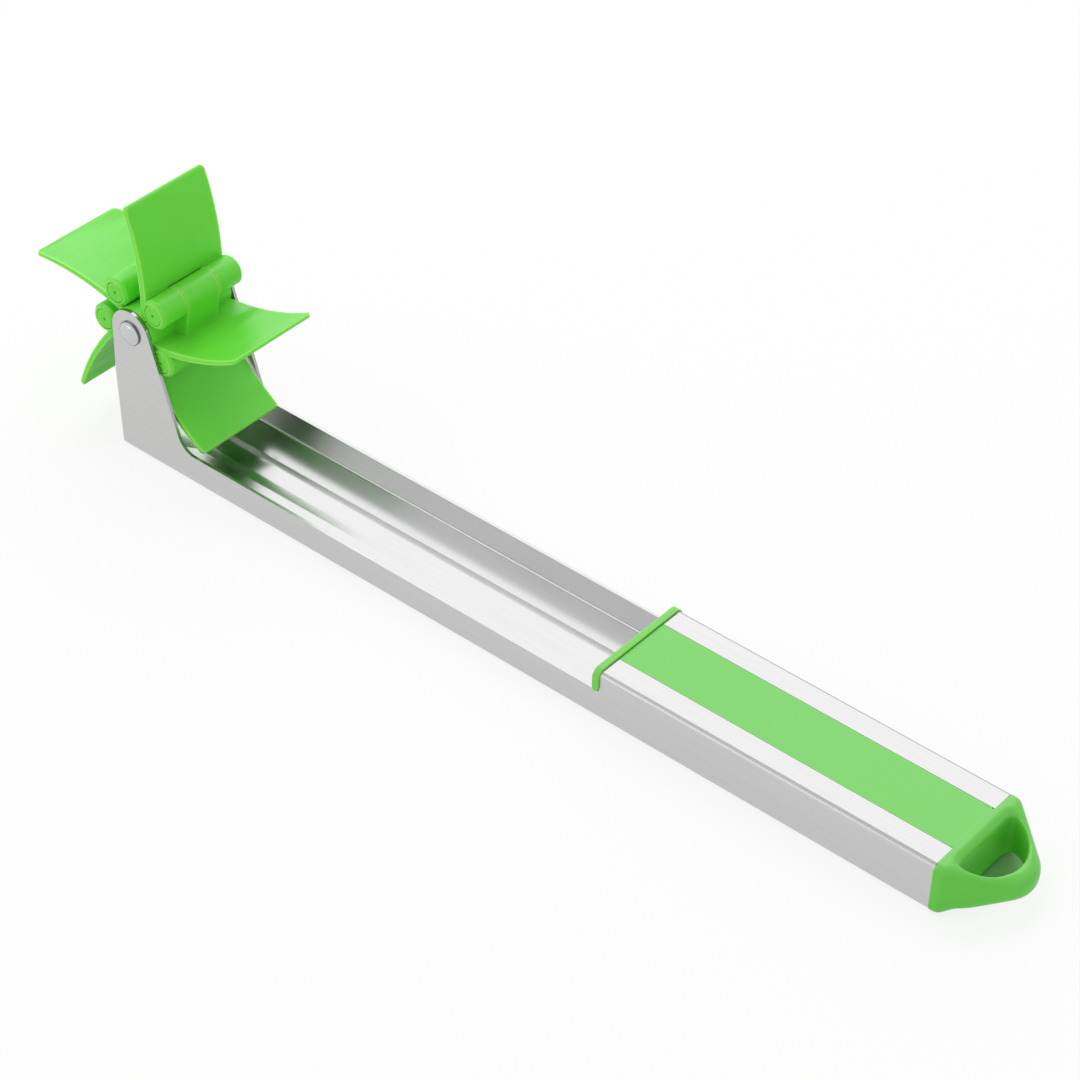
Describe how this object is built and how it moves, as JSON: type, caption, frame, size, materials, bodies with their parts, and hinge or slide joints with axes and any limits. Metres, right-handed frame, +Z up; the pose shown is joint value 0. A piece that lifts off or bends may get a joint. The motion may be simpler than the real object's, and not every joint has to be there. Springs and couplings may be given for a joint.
{
  "type": "melon cutter",
  "caption": "Melon cutter: a folded steel channel with a free-turning rotor of curved green vanes between two ears, and a plastic-cored handle with a hang loop.",
  "frame": {"origin": "On the steel underside, straight below the axle, midway between the ears", "axes": "+X along the channel from the rotor to the hang loop, +Y across it, +Z up from the underside to the rotor"},
  "size_m": [0.2485, 0.0282, 0.0612],
  "materials": {
    "steel_body": "bright stainless steel sheet, satin on its sides and glossy on the trough floor",
    "steel_pin": "polished stainless steel",
    "vane_plastic": "semi-gloss moulded plastic, slightly translucent",
    "core_plastic": "satin moulded plastic",
    "collar_plastic": "satin moulded plastic"
  },
  "bodies": {
    "body": {"channel_body": "steel_body", "axle_rivet": "steel_pin", "spacer_sleeve": "steel_pin", "handle_core": "core_plastic", "collar_plug": "collar_plastic"},
    "rotor": {"vane_1": "vane_plastic", "vane_2": "vane_plastic", "vane_3": "vane_plastic", "vane_4": "vane_plastic", "vane_5": "vane_plastic", "vane_pin_1": "vane_plastic", "vane_pin_2": "vane_plastic", "vane_pin_3": "vane_plastic", "vane_pin_4": "vane_plastic", "vane_pin_5": "vane_plastic"}
  },
  "joints": [
    {"name": "rotor_spin", "type": "hinge", "parent": "body", "child": "rotor", "pos_m": [0, 0, 0.0313], "axis": [0, 1, 0], "continuous": true}
  ]
}
